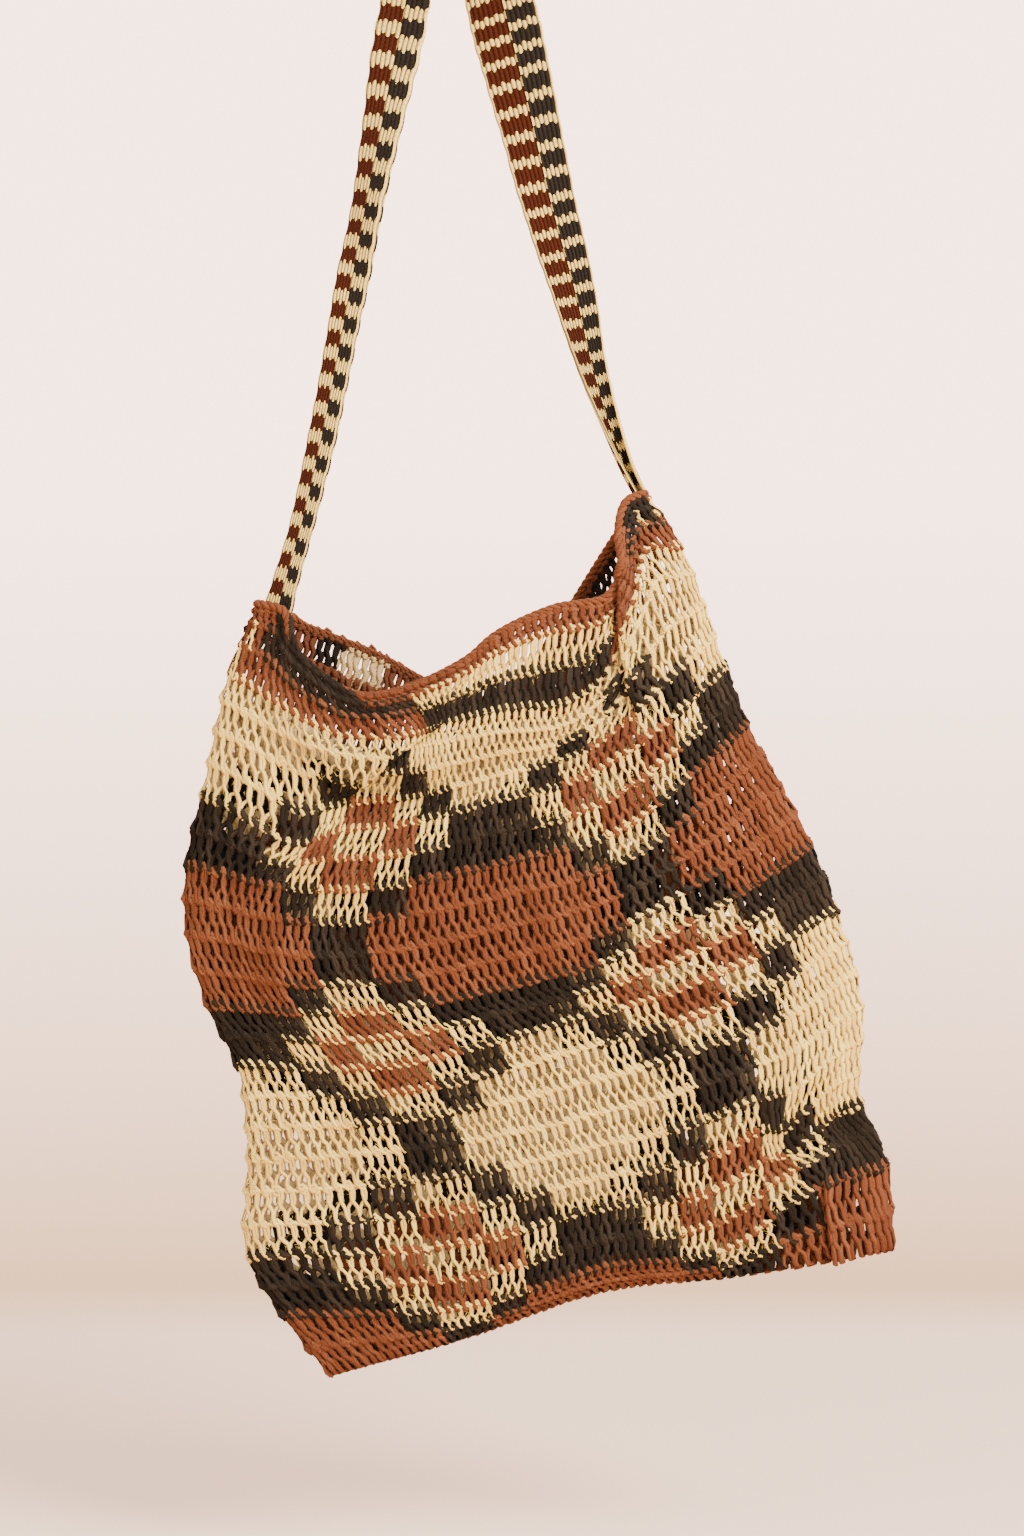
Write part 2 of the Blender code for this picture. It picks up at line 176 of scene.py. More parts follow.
# The strap from the left corner over the top to the right corner: x, z and its width in millimetres,
# then in degrees how far its edge is folded behind, how far it is rolled, and its twist
STRAP_LEFT = (
    (-95.2, -424.2, 21, 176, 0, 0),
    (-90.5, -407, 18.5, 178, 0, 0),
    (-84, -385, 17.7, 180, 10, 0),
    (-72, -335, 20.3, 180, 0, -4),
    (-56, -253, 24.2, 180, -10, -8),
    (-47.5, -212, 29, 180, 0, -36),
    (-38.8, -165, 32, 180, 0, -26),
    (-27.5, -105, 41, 180, 0, -14),
    (-20, -72, 41, 130, 0, -32),
    (-13, -42, 41, 60, 0, -62),
    (-9.4, -20, 41, 10, 0, -86),
)
STRAP_RIGHT = (
    (10.2, -20, 41, 0, 0, -94),
    (16, -45, 41, 0, 0, -122),
    (25, -80, 41, 0, 0, -150),
    (44.5, -159, 34, 0, 10, -172),
    (52, -191, 31, 0, 20, -180),
    (69, -253, 24.6, 0, 50, -184),
    (78, -290, 19, 0, 110, -190),
    (90, -327, 16, 0, 200, -200),
    (99, -349, 15, 0, 270, -200),
    (105.3, -361.2, 14, 0, 280, -200),
)
TOP_STEPS = 9

# The colours, row by row
CREAM, DARK, TERRACOTTA = 0, 1, 2
BANDS = ((3, 7, CREAM), (7, 9, DARK), (9, 13, TERRACOTTA), (13, 15, DARK), (15, 21, CREAM),
         (21, 23, DARK), (23, 25, TERRACOTTA))
BORDER_COURSES = 3
BORDER_SIDES = (TERRACOTTA, DARK, TERRACOTTA)
BORDER_MIDDLE = (TERRACOTTA, CREAM, DARK)
BORDER_SECTOR = (22, 50)  # stitches of the front border's middle
CREAM_PATCH = (110, 116)  # stitches of a cream patch in the back border's second course
DARK_PATCHES = ((64, 78), (116, 119))  # and of dark ones
DARK_EDGE = (4, 16)  # stitches of the front's first course worked in dark yarn
# Stitches near the corners worked in another yarn, by (stitch, course)
CHANGED_YARN = {
    (0, 1): TERRACOTTA, (1, 1): CREAM, (2, 1): TERRACOTTA, (0, 2): CREAM, (127, 1): DARK,
    (61, 1): CREAM, (64, 1): CREAM,
    **{(stitch, 0): DARK for stitch in range(59, 64)},
    **{(stitch, 1): TERRACOTTA for stitch in range(52, 57)},
}
# The motifs' chart, a line for each course, where a dot leaves the band's own colour
MOTIF_STITCHES = (18, 50, 82, 114)  # the middle of each column of motifs
MOTIF_HALF = 11
TIP = "....DDDDCCCCCCDDDD...."
FLANK = "DDDDCCCCTTTTTTCCCCDDDD"
HEART = "CCCCTTTTCCCCCCTTTTCCCC"
LINK = "........DDDDDD........"
STAR = (TIP, FLANK, HEART, FLANK, TIP, LINK, LINK)
FIRST_LINK = "..........DDDD........"
FIRST_STAR = 5  # the course at which the first one starts
LETTERS = {"C": CREAM, "D": DARK, "T": TERRACOTTA}

# Courses as counted, and where the border's hang instead, its first the narrowest
BORDER_PLACES = (-1, 0, 1, 2, 3, 30)
FRONT_BORDER = (-1, 0, 0.6, 1.7, 3, 30)
BACK_BORDER = (-1, 0, 0.08, 0.95, 3, 30)

# One stitch is two yarns. Each hooks over the course's top strand, runs down beside the other,
# then parts from it at half height, to meet a neighbour's and end with it in a foot that curves to
# the right: (stitches across, courses down, millimetres out)
YARN_RIGHT = (
    (-0.84, 0.15, -1.0), (-0.50, 0.03, 0.2), (-0.20, -0.02, 1.0), (-0.02, 0.10, 0.9),
    (-0.02, 0.30, 0.4), (0.00, 0.45, 0.3), (0.22, 0.56, 0.7), (0.42, 0.67, 0.2),
    (0.46, 0.86, 0.7), (0.60, 1.02, 1.5), (0.92, 1.10, 1.4),
)
YARN_LEFT = (
    (-0.82, 0.08, -1.0), (-0.50, -0.06, 0.3), (-0.15, -0.11, 1.1), (0.16, 0.02, 1.0),
    (0.24, 0.24, 0.4), (0.18, 0.42, 0.1), (-0.10, 0.54, -0.6), (-0.36, 0.66, -0.1),
    (-0.42, 0.85, 0.4), (-0.30, 1.04, 1.2), (0.02, 1.13, 1.1),
)
TOP_STRAND = ((-0.56, 0.05, 0.9), (0.0, 0.00, 1.2), (0.56, 0.05, 0.9))
YARN_HALF_WIDTH = 0.92 * MM
YARN_FLATNESS = 0.62  # its depth as a share of its width
FULLNESS = (1.0, 1.5, 1.45)  # cream, dark and terracotta yarn
# Below its border the back hangs slacker and closes up more, but for the side turned to the front
BACK_STITCHES = (64, 70, 72, 78, 90, 128)
BACK_FULLNESS = (1.3, 1.4, 2.5, 2.7, 2.6, 2.2)
BACK_PAINTED_SHADE = (0, 0, 0, -0.2, -0.6, 0)  # painted shade inside the bag: how far the back's yarn tones are lowered
BACK_BORDER_FULLNESS = (1.7, 1.1, 1.1)  # cream, dark and terracotta yarn
# Where the net is drawn together: by how much more its yarns fill it at one stitch and course, and
# over how many stitches and courses that dies away
Dense = namedtuple("Dense", "name stitch course more wide tall")
DENSER = (
    Dense("right side above the neck", 62, 18, 0.35, 9, 3.5),
    Dense("left side", 0, 18, 0.3, 8, 3.5),
    Dense("right side under the corner", 60, 5, 0.2, 8, 2.5),
    Dense("left side under the corner", 3, 5, 0.3, 9, 2.5),
    Dense("middle of the mouth", 32, 0.8, 0.5, 9, 0.9),
)
# How much stitches, and the yarns in them, differ by chance
STITCH_SHIFT = (0.06, 0.03)  # stitches across and courses down
YARN_WOBBLE = (0.03, 0.012)
TONE, TONE_SPREAD, YARN_TONE_SPREAD = 0.55, 0.2, 0.08
FULLNESS_SPREAD, WIDTH_SPREAD = 0.06, 0.07
YARN_SIDES = 4
PLY_LAY = 3.4 * MM  # length of one turn of the yarn's own plies
HALF_WAY = 12  # the net is made in an upper and a lower half
PIECES = (
    ("net_upper", 0, HALF_WAY, YARN_RIGHT),
    ("net_lower", HALF_WAY, COURSE_ROWS, YARN_RIGHT),
    ("net_upper_seconds", 0, HALF_WAY, YARN_LEFT),
    ("net_lower_seconds", HALF_WAY, COURSE_ROWS, YARN_LEFT),
    ("net_crossings", 0, COURSE_ROWS, TOP_STRAND),
)

HAIRS = 45000
HAIR_LENGTH = (1.6 * MM, 4.2 * MM)
HAIR_WIDTH = 0.13 * MM
HAIR_SHARES = (0.2, 0.9)  # the part of a stitch's width that hairs start on
HAIR_ROOT = 0.9 * MM  # how far out of the net's middle a hair starts
HAIR_STEP = 0.05  # courses up and down from there that show how its yarn runs
HAIR_LAY = (1.0, 0.55, 0.75)  # how far a hair leans along its yarn, across it and out of the net
HAIR_BEND = 0.7
HAIR_TONES = (0.4, 1)
HAIR_POINTS = 5

# The mouth's cord of three strands
CORD_TONES = (0.45, 0.62, 0.55)  # how pale each strand is
CORD_STRANDS = len(CORD_TONES)
CORD_STRAND_RADIUS = 1.3 * MM
CORD_STRAND_OUT = 1.25 * MM  # from the cord's middle line to a strand's
CORD_SEAT = 2.8 * MM  # from the net's edge to the cord's middle line
CORD_SPREAD = 0.03  # how much a strand's thickness differs by chance
CORD_PLACES = (-0.088, -0.080, -0.03, 0.04, 0.09)  # metres along X, from the left corner
CORD_FULLNESS = (1.1, 0.45, 0.5, 0.75, 1)  # the cord is drawn thin in the dip of the mouth
CORD_DARK = (-0.0875, -0.058)  # metres along X between which its front is dark
CORD_LAY = 13.0 * MM  # length of one turn of the cord's strands
CORD_STEP = 1.2 * MM
CORD_SIDES = 8
CORD_PAINTED_SHADE = 0.4  # how much of the yarn's painted side shade the cord's strands get
EDGE_STEP = 0.4  # courses below the net's edge that show which way it hangs
MOUTH_READINGS = 1600

# The strap's weave. Pairs are for its left and right legs, and shares are of its width
RIBS = (10.5, 13.5)  # ribs seen across
WAVES = (0.035, 0.012)  # how far the edges swell at each cream block
BLOCK_SHARES = (0.60, 0.70)  # how much of a period a block fills
PERIODS = (15.7, 12.9)  # millimetres from one terracotta block to the next, low on each leg
# Heights of some blocks, and how many blocks they are below their leg's first
BLOCKS_LEFT = ((-411.8, 20), (-305.6, 13), (-198.1, 6), (-96.2, 0))
BLOCKS_RIGHT = ((-91.3, 0), (-127.1, 3), (-197.1, 8), (-296.3, 16))
BLOCKS_BETWEEN = 15  # periods between those first ones
SELVEDGES = (0.075, 0.985)  # the plain cream edges lie outside these shares
COLUMNS_MEET = 0.56
BEHIND = 1.05  # past this share the blocks show again round the fold
OPEN_PLACES = (0, 0.035, 0.55, 0.965, 1)  # where its edges, selvedges and columns lie when open
FOLD_SEEN = STRAP_FOLD_AT + 0.05  # the share seen when it is folded
FOLDED_PATTERN = (0.06, 1.02)  # and the pattern's shares at the edges of what is seen
POINTED = 0.18  # how pointed the floats' ends are, in periods
STEPPED = 0.10  # how much further every second rib's floats reach, in periods
DARK_LAG = 0.57  # how much later the dark column's blocks come, in periods
RAGGED = 0.16  # how raggedly the blocks end, in periods
FLOAT_LENGTH = 2.6  # millimetres from one float of the weave to the next
RIB_HOLLOW = 0.38  # how much thinner the strap is between two ribs
EDGE_THIN = 0.4  # how thick its very edges are
UNEVEN = 0.012  # how much its width changes by slow waves along it
UNEVEN_WAVES = (23, 9.1)  # millimetres along for each radian of two such waves
GROOVE_FALL = 1.3  # how soon the painted groove shade rises where a rib falls off into its groove
GROOVE_PAINTED_SHADES = (0.9, 0.15)  # how dark the painted shade in a groove is, in the cream and in the blocks
ACROSS_POINTS = 69
STRAP_STEP = 1.6 * MM

# How strongly flecks deepen a yarn's colour, and painted shade its ply furrows and its own sides
FLECKS, FURROW_PAINTED_SHADE, SIDE_PAINTED_SHADE = 0.35, 0.45, 0.8
YARN_RELIEF, STRAP_RELIEF = 0.3 * MM, 0.35 * MM
RELIEF_STRENGTH = 0.8

# Colours of yarn and light: yarns from pale to deep and then their shadow, threads deep and pale
CREAM_YARN = ((0.98, 0.715, 0.155), (0.92, 0.615, 0.115), (0.67, 0.41, 0.073), (0.38, 0.26, 0.135))
DARK_YARN = ((0.040, 0.027, 0.017), (0.023, 0.016, 0.010), (0.012, 0.008, 0.0045), (0.010, 0.007, 0.005))
TERRACOTTA_YARN = (
    (0.214, 0.070, 0.0266),
    (0.166, 0.0495, 0.0185),
    (0.109, 0.030, 0.0105),
    (0.090, 0.0275, 0.0115),
)
CREAM_THREAD = ((0.56, 0.35, 0.085), (0.95, 0.68, 0.19))
RUST_THREAD = ((0.022, 0.0045, 0.002), (0.062, 0.012, 0.004))
DARK_THREAD = ((0.006, 0.0042, 0.0032), (0.020, 0.015, 0.011))
GROOVE_SHADE_COLOUR = (0.055, 0.028, 0.010)  # painted shade between the strap's ribs
FLOOR_COLOUR = (0.67, 0.525, 0.40)
ROOM_LIGHT = (1.25, 1.19, 1.15)
WALL_LIGHT = (5.6, 3.9, 3.3)
LOW_WALL_LIGHT = (2.1, 1.25, 0.72)

# The camera stands straight in front at the photograph's height
CAMERA_MIDDLE = Vector((0.0341, 0, -0.5104))
CAMERA_BACK = 1.6
FRAME_HEIGHT = 0.845
SENSOR = 36.0
CAMERA_SEES = (0.05, 50)  # metres away
# From one direction to another the room's light turns to the wall's, and the low wall's to the wall's
WALL_SHOWS = (-0.1, 0.75)  # shares of a direction that lie towards the back
WALL_RISES = (-0.17, 0.10)  # and upwards
FLOOR_Z = -0.95
FLOOR_REACH = 6
FLOOR_BACK = 0.85  # how far behind the bag the floor ends
FLOOR_FADE = 0.2  # over how much of its depth it fades there
# Name, place, size and power
LIGHTS = (
    ("key light", (1.1, -1.05, 0.4), 0.7, 94),
    ("fill light", (-1.6, -1.4, 0.4), 1.8, 30),
    ("back light", (0.4, 1.9, 0.4), 1.8, 12),
)


def smooth(knots, values, places):
    """A cubic curve through the values at rising knots, read at the places."""
    knots = np.asarray(knots, float)
    values = np.asarray(values, float)
    slopes = np.gradient(values, knots, axis=0)
    places = np.clip(places, knots[0], knots[-1])
    low = np.clip(np.searchsorted(knots, places, side="right") - 1, 0, len(knots) - 2)
    shape = (-1,) + (1,) * (values.ndim - 1)
    span = (knots[low + 1] - knots[low]).reshape(shape)
    t = (places - knots[low]).reshape(shape) / span
    start = (2 * t**3 - 3 * t**2 + 1) * values[low] + (t**3 - 2 * t**2 + t) * span * slopes[low]
    end = (3 * t**2 - 2 * t**3) * values[low + 1] + (t**3 - t**2) * span * slopes[low + 1]
    return start + end


def unit(vectors):
    """The vectors with their length made 1."""
    return vectors / np.maximum(np.linalg.norm(vectors, axis=-1, keepdims=True), 1e-12)


def opened(distance):
    """0 on a side or bottom fold, rising on a round curve to 1."""
    t = np.clip(distance / EDGE_ROUND, 0, 1)
    return np.sqrt(1 - (1 - t) ** 2)


def fold_heights(stitches, courses):
    """How far the folds push the wall outwards, for each course and stitch."""
    across, down = np.meshgrid(stitches * STITCH, courses * COURSE)
    height = np.zeros(across.shape)
    for fold in FOLDS + FINE_FOLDS:
        low = np.zeros(across.shape)
        for t in np.linspace(0, 1, FOLD_POINTS):
            stitch = fold.stitch + t * (fold.to_stitch - fold.stitch)
            course = fold.course + t * (fold.to_course - fold.course) + fold.bow * 4 * t * (1 - t)
            apart = (across - stitch * STITCH) ** 2 + (down - course * COURSE) ** 2
            near = np.exp(-apart / (fold.width * MM) ** 2) * math.sin(math.pi * t) ** FOLD_TAPER
            low = np.maximum(low, near)
        height += fold.height * MM * low
    return height


def pleat_heights(stitches, courses):
    """The step outwards across the pleat, from its left side to its right."""
    across, down = np.meshgrid(stitches, courses)
    side = 0.5 + 0.5 * np.tanh((across - PLEAT_STITCH) / PLEAT_WIDTH)
    back_again = 1 - np.clip((across - PLEAT_STITCH) / (HALF_ROUND - PLEAT_STITCH), 0, 1) ** 2
    fade = np.clip((PLEAT_END - down) / PLEAT_END, 0, 1) ** 0.5
    return PLEAT_STEP * side * back_again * fade * (across < HALF_ROUND)


def mouth_row(stitches, front):
    """(x, z) of the mouth at each stitch, in millimetres."""
    ahead, behind = (
        smooth([place[0] for place in mouth], [place[1:] for place in mouth], stitches)
        for mouth in (FRONT_MOUTH, BACK_MOUTH)
    )
    return np.where(front[:, None], ahead, behind)


def wall_points(stitches, courses):
    """The wall's middle surface, as points for each course and stitch."""
    front = stitches <= HALF_ROUND
    as_front = np.where(front, stitches, ROUND - stitches)
    rows = [mouth_row(stitches, front)]
    for level in LEVELS:
        row = smooth(LEVEL_STITCHES, level[1:7], as_front)
        share = as_front / HALF_ROUND
        row[:, 1] -= np.where(front, 0, level.back_drop) * 4 * share * (1 - share)
        rows.append(row)
    knots = [0] + [level.course for level in LEVELS]
    flat = smooth(knots, rows, courses) * MM
    depths = [MOUTH_HALF_DEPTH] + [level.half_depth for level in LEVELS]
    half = smooth(knots, depths, courses)[:, None] * MM
    half = EDGE_HALF + (half - EDGE_HALF) * np.sin(np.pi * as_front / HALF_ROUND)
    side = opened(np.minimum(as_front, HALF_ROUND - as_front) * STITCH)
    bottom = opened((COURSES - courses) * COURSE)[:, None]
    out = half + fold_heights(stitches, courses) + pleat_heights(stitches, courses)
    depth = np.where(front, -1, 1) * out * side * bottom
    return np.stack([flat[..., 0], depth, flat[..., 1]], axis=-1)


class Wall:
    """The wall's surface, read anywhere: place(stitches, courses, out) gives points."""

    def __init__(self):
        near = np.array(BESIDE_FOLDS)
        even = np.arange(0, ROUND + 0.01, WALL_STEPS[0])
        extra = [fold + side * near for fold in (0, HALF_ROUND, ROUND) for side in (-1, 1)]
        stitches = np.unique(np.round(np.concatenate([even, *extra]), 3))
        self.stitches = stitches[(stitches >= 0) & (stitches <= ROUND)]
        courses = [np.arange(0, COURSES, WALL_STEPS[1]), COURSES - np.array(ABOVE_BOTTOM)]
        self.courses = np.unique(np.round(np.concatenate(courses), 3))
        self.points = wall_points(self.stitches, self.courses)
        wrapped = np.concatenate([self.points[:, -2:-1], self.points, self.points[:, 1:2]], axis=1)
        before, after = self.stitches[-2] - ROUND, self.stitches[1] + ROUND
        round_about = np.concatenate([[before], self.stitches, [after]])
        across = np.gradient(wrapped, round_about, axis=1)[:, 1:-1]
        self.down = np.gradient(self.points, self.courses, axis=0)
        self.normals = unit(np.cross(self.down, across))

    def read(self, table, stitches, courses):
        """The table's values between its own stitches and courses."""
        at = np.interp(np.mod(stitches, ROUND), self.stitches, np.arange(len(self.stitches)))
        row = np.interp(courses, self.courses, np.arange(len(self.courses)))
        i = np.clip(at.astype(int), 0, len(self.stitches) - 2)
        j = np.clip(row.astype(int), 0, len(self.courses) - 2)
        u, v = (at - i)[..., None], (row - j)[..., None]
        top = table[j, i] * (1 - u) + table[j, i + 1] * u
        low = table[j + 1, i] * (1 - u) + table[j + 1, i + 1] * u
        return top * (1 - v) + low * v

    def place(self, stitches, courses, out):
        """(points, outward directions)"""
        stitches, courses = dragged(*dragged(stitches, courses, DRAGS), SIDE_DRAGS)
        stitches, courses, lift = lapped(stitches, courses)
        inside = np.clip(courses, 0, COURSES)
        points = self.read(self.points, stitches, inside)
        above = (courses - inside)[..., None]
        points = points + self.read(self.down, stitches, inside) * np.minimum(above, 0)
        normals = unit(self.read(self.normals, stitches, inside))
        return points + normals * (out + lift)[..., None], normals


def dragged(stitches, courses, drags):
    """Where cloth of these stitches and courses is dragged to."""
    moved_s, moved_c = stitches.copy(), courses.copy()
    for drag in drags:
        away = (courses - drag.course) / np.where(courses < drag.course, drag.above, drag.below)
        share = np.exp(-(((stitches - drag.stitch) / drag.wide) ** 2) - away**2)
        moved_s += (drag.across + drag.gather * (drag.stitch - stitches)) * share
        moved_c += drag.down * share
    return moved_s, moved_c


def lapped(stitches, courses):
    """Where cloth of these stitches and courses lies, once the laps are folded, and how far out."""
    lift = np.zeros(stitches.shape)
    moved_s, moved_c = stitches.copy(), courses.copy()
    for lap in LAPS:
        start = np.array([lap.stitch * STITCH, lap.course * COURSE])
        end = np.array([lap.to_stitch * STITCH, lap.to_course * COURSE])
        run = (end - start) / np.linalg.norm(end - start)
        over = np.array([run[1], -run[0]]) * lap.over
        if over[0] * lap.over < 0:
            over = -over
        x, y = stitches * STITCH - start[0], courses * COURSE - start[1]
        along = (x * run[0] + y * run[1]) / np.linalg.norm(end - start)
        apart = (x * over[0] + y * over[1]) / MM
        held = np.clip(np.minimum(LAP_STARTS * along, LAP_ENDS * (1 - along)), 0, 1)
        held = held * held * (3 - 2 * held)
        fade = np.exp(-(np.maximum(np.abs(apart) - lap.lap / 2, 0) / lap.reach) ** 2)
        side = np.tanh(LAP_SHARPNESS * apart / lap.lap) * held
        moved_s -= side * fade * lap.lap * over[0] * MM / STITCH
        moved_c -= side * fade * lap.lap * over[1] * MM / COURSE
        near = np.exp(-(apart / (LIFT_REACH * lap.reach)) ** 2)
        lift += side * near * lap.rise * MM / 2
    return moved_s, moved_c, lift


def back_border_colour(stitch, course):
    """The colour of a stitch of the back's border."""
    if course == 1 and CREAM_PATCH[0] <= stitch < CREAM_PATCH[1]:
        return CREAM
    dark = course == 1 and any(first <= stitch < last for first, last in DARK_PATCHES)
    return DARK if dark else TERRACOTTA


def front_border_colour(stitch, course):
    """The colour of a stitch of the front's border."""
    if course == 0 and DARK_EDGE[0] <= stitch < DARK_EDGE[1]:
        return DARK
    middle = BORDER_SECTOR[0] <= stitch < BORDER_SECTOR[1]
    return (BORDER_MIDDLE if middle else BORDER_SIDES)[course]


def colour_of(stitch, course):
    """The colour of a stitch of the net."""
    if (stitch, course) in CHANGED_YARN:
        return CHANGED_YARN[stitch, course]
    if course < BORDER_COURSES:
        border = front_border_colour if stitch < HALF_ROUND else back_border_colour
        return border(stitch, course)
    chart = STAR[(course - FIRST_STAR) % len(STAR)] if course >= FIRST_STAR else FIRST_LINK
    for motif in MOTIF_STITCHES:
        at = stitch - motif + MOTIF_HALF
        if course >= FIRST_STAR - 1 and 0 <= at < 2 * MOTIF_HALF and chart[at] in LETTERS:
            return LETTERS[chart[at]]
    return next(colour for low, high, colour in BANDS if low <= course < high)


def colours_of(stitches, courses):
    """The colours of many stitches."""
    return np.array([colour_of(s, c) for s, c in zip(stitches.tolist(), courses.tolist())])


def tubes(centres, outward, radii, sides, flatness=1.0):
    """Closed tubes: centres is (tubes, rings, 3), radii is half their width.

    Gives points, quads, end caps and the point values that the yarn's material reads.
    """
    run = unit(np.gradient(centres, axis=1))
    across = unit(np.cross(run, outward))
    up = np.cross(across, run) * flatness
    angles = 2 * np.pi * np.arange(sides) / sides
    spread = np.cos(angles)[:, None] * across[:, :, None] + np.sin(angles)[:, None] * up[:, :, None]
    steps = np.linalg.norm(np.diff(centres, axis=1, prepend=centres[:, :1]), axis=-1)
    lengths = np.cumsum(steps, axis=1)
    twist = lengths[:, :, None] / PLY_LAY + np.arange(sides) / sides
    # How much painted shade each point gets, kept as its side value: none on the tube's outer face, full
    # on its sides and inner face
    painted_shade = np.broadcast_to(1 - np.maximum(np.sin(angles), 0), twist.shape)
    points = centres[:, :, None] + spread * radii[:, :, None, None]
    count, rings = centres.shape[:2]
    first = np.arange(count)[:, None, None] * rings * sides
    ring = np.arange(rings - 1)[None, :, None] * sides
    side = np.arange(sides)
    a = first + ring + side
    b = first + ring + (side + 1) % sides
    quads = np.stack([a, a + sides, b + sides, b], axis=-1).reshape(-1, 4)
    starts = first[:, :, 0] + side[None]
    ends = first[:, :, 0] + (rings - 1) * sides + side[::-1][None]
    values = {"twist": twist.ravel(), "side": painted_shade.ravel()}
    return points.reshape(-1, 3), quads, np.concatenate([starts, ends]), values


def added(name, data):
    """A new object in the scene."""
    thing = bpy.data.objects.new(name, data)
    bpy.context.scene.collection.objects.link(thing)
    return thing


def mesh_object(name, points, faces, materials, slots, values):
    """A smooth mesh from arrays.

    Each array of faces has as many corners a face, and its own array of material slots. The values
    are what the materials read at the points, by name.
    """
    mesh = bpy.data.meshes.new(name)
    mesh.vertices.add(len(points))
    mesh.vertices.foreach_set("co", np.asarray(points, np.float32).ravel())
    sizes = np.concatenate([np.full(len(f), f.shape[1]) for f in faces])
    corners = np.concatenate([f.ravel() for f in faces])
    mesh.loops.add(len(corners))
    mesh.loops.foreach_set("vertex_index", corners.astype(np.int32))
    mesh.polygons.add(len(sizes))
    starts = np.concatenate([[0], np.cumsum(sizes)[:-1]])
    mesh.polygons.foreach_set("loop_start", starts.astype(np.int32))
    mesh.polygons.foreach_set("material_index", np.concatenate(slots).astype(np.int32))
    for material in materials:
        mesh.materials.append(material)
    for key, value in values.items():
        attribute = mesh.attributes.new(key, "FLOAT", "POINT")
        attribute.data.foreach_set("value", value.astype(np.float32))
    mesh.update(calc_edges=True)
    mesh.shade_smooth()
    return added(name, mesh)


class Nodes:
    """Adds nodes to a tree."""

    def __init__(self, tree):
        self.tree = tree

    def fill(self, node, inputs):
        for key, value in inputs.items():
            socket = node.inputs[key]
            if isinstance(value, bpy.types.NodeSocket):
                self.tree.links.new(value, socket)
            else:
                socket.default_value = (*value, 1) if isinstance(value, tuple) else value

    def add(self, kind, inputs, **options):
        """A new node's outputs."""
        node = self.tree.nodes.new("ShaderNode" + kind)
        for name, option in options.items():
            setattr(node, name, option)
        self.fill(node, inputs)
        return node.outputs

    def axes(self, space):
        return self.add("SeparateXYZ", {0: self.add("TexCoord", {})[space]})

    def value(self, name):
        return self.add("Attribute", {}, attribute_name=name)["Fac"]

    def math(self, operation, *values, clamp=False):
        return self.add("Math", dict(enumerate(values)), operation=operation, use_clamp=clamp)[0]

    def mix(self, share, first, second):
        inputs = {"Factor": share, "A": first, "B": second}
        return self.add("Mix", inputs, data_type="RGBA")["Result"]

    def noise(self, scale, detail):
        inputs = {"Vector": self.add("TexCoord", {})["Object"], "Scale": scale, "Detail": detail}
        return self.add("TexNoise", inputs)["Fac"]

    def rise(self, value, start, end, curve):
        """0 where the value is at the start or before it, 1 at the end or past it."""
        inputs = {"Value": value, "From Min": start, "From Max": end}
        return self.add("MapRange", inputs, interpolation_type=curve)["Result"]


class Surface(Nodes):
    """The nodes of a procedural material."""

    def __init__(self, name, roughness, specular, sheen):
        self.material = bpy.data.materials.new(name)
        self.material.use_nodes = True
        super().__init__(self.material.node_tree)
        self.look({"Roughness": roughness, "Specular IOR Level": specular})
        self.look({"Sheen Weight": sheen, "Sheen Roughness": 0.5})

    def look(self, inputs):
        self.fill(self.tree.nodes["Principled BSDF"], inputs)

    def bump(self, height, distance):
        inputs = {"Height": height, "Distance": distance, "Strength": RELIEF_STRENGTH}
        self.look({"Normal": self.add("Bump", inputs)["Normal"]})


def yarn_material(name, colours, shine):
    """Spun yarn: each strand its own shade, flecked along it, with a rough hairy surface."""
    pale, middle, deep, shadow = colours
    nodes = Surface(name, 0.9, shine, shine)
    tone = nodes.value("tone")
    colour = nodes.mix(tone, deep, middle)
    colour = nodes.mix(nodes.math("MULTIPLY_ADD", tone, 2.0, -1.0, clamp=True), colour, pale)
    fleck = nodes.math("MULTIPLY_ADD", nodes.noise(900, 3), 1.6, -0.45, clamp=True)
    colour = nodes.mix(nodes.math("MULTIPLY", fleck, FLECKS), colour, deep)
    # Painted shade in the furrows between the plies, in the yarn's shadow colour
    turned = nodes.math("MULTIPLY", nodes.value("twist"), math.pi * 2)
    ply = nodes.math("ABSOLUTE", nodes.math("SINE", turned))
    furrow_shade = nodes.math("POWER", nodes.math("SUBTRACT", 1.0, ply), 3.0)
    colour = nodes.mix(nodes.math("MULTIPLY", furrow_shade, FURROW_PAINTED_SHADE), colour, shadow)
    # Painted shade along the yarn's sides and on its inner face, in its shadow colour
    edge = nodes.math("POWER", nodes.value("side"), 2.2)
    colour = nodes.mix(nodes.math("MULTIPLY", edge, SIDE_PAINTED_SHADE), colour, shadow)
    nodes.look({"Base Color": colour})
    nodes.bump(nodes.math("MULTIPLY_ADD", ply, 0.8, nodes.noise(1800, 2)), YARN_RELIEF)
    return nodes.material


YARNS = (
    yarn_material("cream yarn", CREAM_YARN, 0.02),
    yarn_material("dark yarn", DARK_YARN, 0.02),
    yarn_material("terracotta yarn", TERRACOTTA_YARN, 0.03),
)


def fullness_of(stitch, course, colour):
    """How much of its room the yarn of each stitch fills, before chance."""
    fullness = np.array(FULLNESS)[colour]
    for dense in DENSER:
        apart = ((stitch - dense.stitch) / dense.wide) ** 2 + ((course - dense.course) / dense.tall) ** 2
        fullness = fullness * (1 + dense.more * np.exp(-apart))
    slack = np.interp(stitch, BACK_STITCHES, BACK_FULLNESS)
    back = np.where(course >= BORDER_COURSES, slack, np.array(BACK_BORDER_FULLNESS)[colour])
    return fullness * np.where(stitch >= HALF_ROUND, back, 1)


